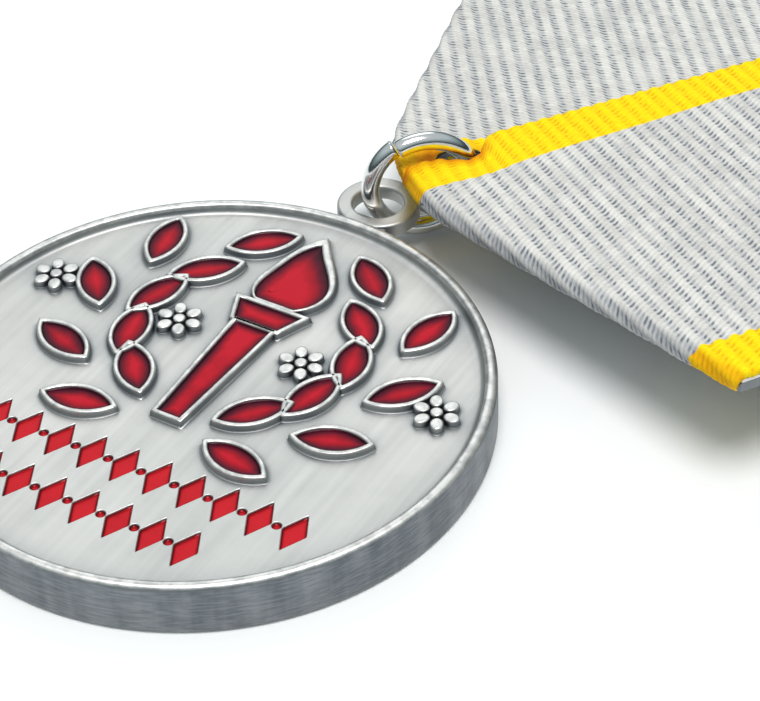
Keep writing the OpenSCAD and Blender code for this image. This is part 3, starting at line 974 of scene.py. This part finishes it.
# (name, colour, roughness, scratch scale, scratch stretch, patches' darkness, bump)
LOOKS = {
    # The plate's steel is made dark as painted shade, so its edge at the ribbon's corner reads as a shadow line
    "mount_plate": ("sheet_steel_dark_as_shade", (0.24, 0.255, 0.265), 0.38, 1800, (1, 0.04, 1), 0.2, 0.2),
    "pin_base": ("pressed_steel", (0.62, 0.625, 0.63), 0.32, 2400, (1, 0.08, 1), 0.10, 0.10),
    "base_rivets": ("rivet_steel", (0.52, 0.52, 0.53), 0.33, 2600, (1, 1, 1), 0.3, 0.15),
    "hinge_rivet": ("rivet_steel_small", (0.52, 0.52, 0.53), 0.33, 2600, (1, 1, 1), 0.3, 0.15),
    "pin_catch": ("catch_steel", (0.62, 0.62, 0.63), 0.28, 2000, (1, 1, 1), 0.25, 0.12),
    "pin_wire": ("drawn_wire", (0.72, 0.72, 0.73), 0.20, 2200, (0.1, 0.1, 1), 0.12, 0.1),
}
for key, look in LOOKS.items():
    o = NODES[key]
    o.data.materials.clear()
    o.data.materials.append(metal(*look))
    o.data.polygons.foreach_set("use_smooth", [False] * len(o.data.polygons))
    bevel = o.modifiers.new("edge", "BEVEL")
    bevel.width, bevel.segments, bevel.limit_method = 0.00005, 2, "ANGLE"
    bevel.angle_limit = math.radians(40)
    bevel.harden_normals = False

# ---------------------------------------------------------------- floor, light, camera


PALE = Mat("pale_floor")
PALE.set(Base_Color=(0.895, 0.908, 0.918, 1), Roughness=0.6, Specular_IOR_Level=0.25)
bpy.ops.mesh.primitive_plane_add(size=3.0, location=(0, 0, -0.00002))
floor = bpy.context.active_object
floor.name = "floor"
floor.data.materials.append(PALE.m)


def area_light(name, at, target, size, power, colour):
    data = bpy.data.lights.new(name, "AREA")
    data.shape, data.size, data.energy, data.color = "DISK", size, power, colour
    o = bpy.data.objects.new(name, data)
    o.location = at
    o.rotation_mode = "QUATERNION"
    o.rotation_quaternion = (Vector(target) - Vector(at)).to_track_quat("-Z", "Y")
    bpy.context.scene.collection.objects.link(o)


area_light("overhead", (0.13, -0.12, 0.66), (0.02, 0.02, 0), 0.36, 3.6, (1.0, 0.975, 0.95))
area_light("behind", (-0.30, 0.46, 0.46), (0.01, 0.02, 0), 0.50, 0.65, (1, 1, 1))

# The world is dim at the horizon and brighter overhead, and a little bluer low down
world = bpy.data.worlds.new("studio")
bpy.context.scene.world = world
world.use_nodes = True
sky = world.node_tree
background = sky.nodes["Background"]
way = sky.nodes.new("ShaderNodeTexCoord")
split = sky.nodes.new("ShaderNodeSeparateXYZ")
sky.links.new(way.outputs["Generated"], split.inputs[0])
elevation = split.outputs[2]
strength = sky.nodes.new("ShaderNodeMapRange")
for socket, value in zip(list(strength.inputs)[1:5], (0.14, 0.62, 0.07, 0.64)):
    socket.default_value = value
tone = sky.nodes.new("ShaderNodeValToRGB")
tone.color_ramp.elements[0].color = (0.60, 0.86, 0.94, 1)
tone.color_ramp.elements[1].color = (0.93, 0.975, 1.0, 1)
for node, socket in ((strength, "Strength"), (tone, "Color")):
    sky.links.new(elevation, node.inputs[0])
    sky.links.new(node.outputs[0], background.inputs[socket])
bpy.context.scene.view_settings.view_transform = "Standard"

cam_data = bpy.data.cameras.new("camera")
cam_data.lens = 118.42
cam_data.sensor_width = 36.0
cam_data.sensor_fit = "HORIZONTAL"
cam_data.clip_start, cam_data.clip_end = 0.005, 10
camera = bpy.data.objects.new("camera", cam_data)
bpy.context.scene.collection.objects.link(camera)
CAMERA_AT = (0.063233, -0.081154, 0.091106)
forward = unit((-0.41037, 0.64368, -0.64596))
right = unit((0.85848, 0.51162, -0.03556))
right = unit(right - forward * (right @ forward))
upward = np.cross(right, forward)
rows = np.column_stack([right, upward, -forward, CAMERA_AT])
camera.matrix_world = Matrix([*rows.tolist(), [0, 0, 0, 1]])
bpy.context.scene.camera = camera
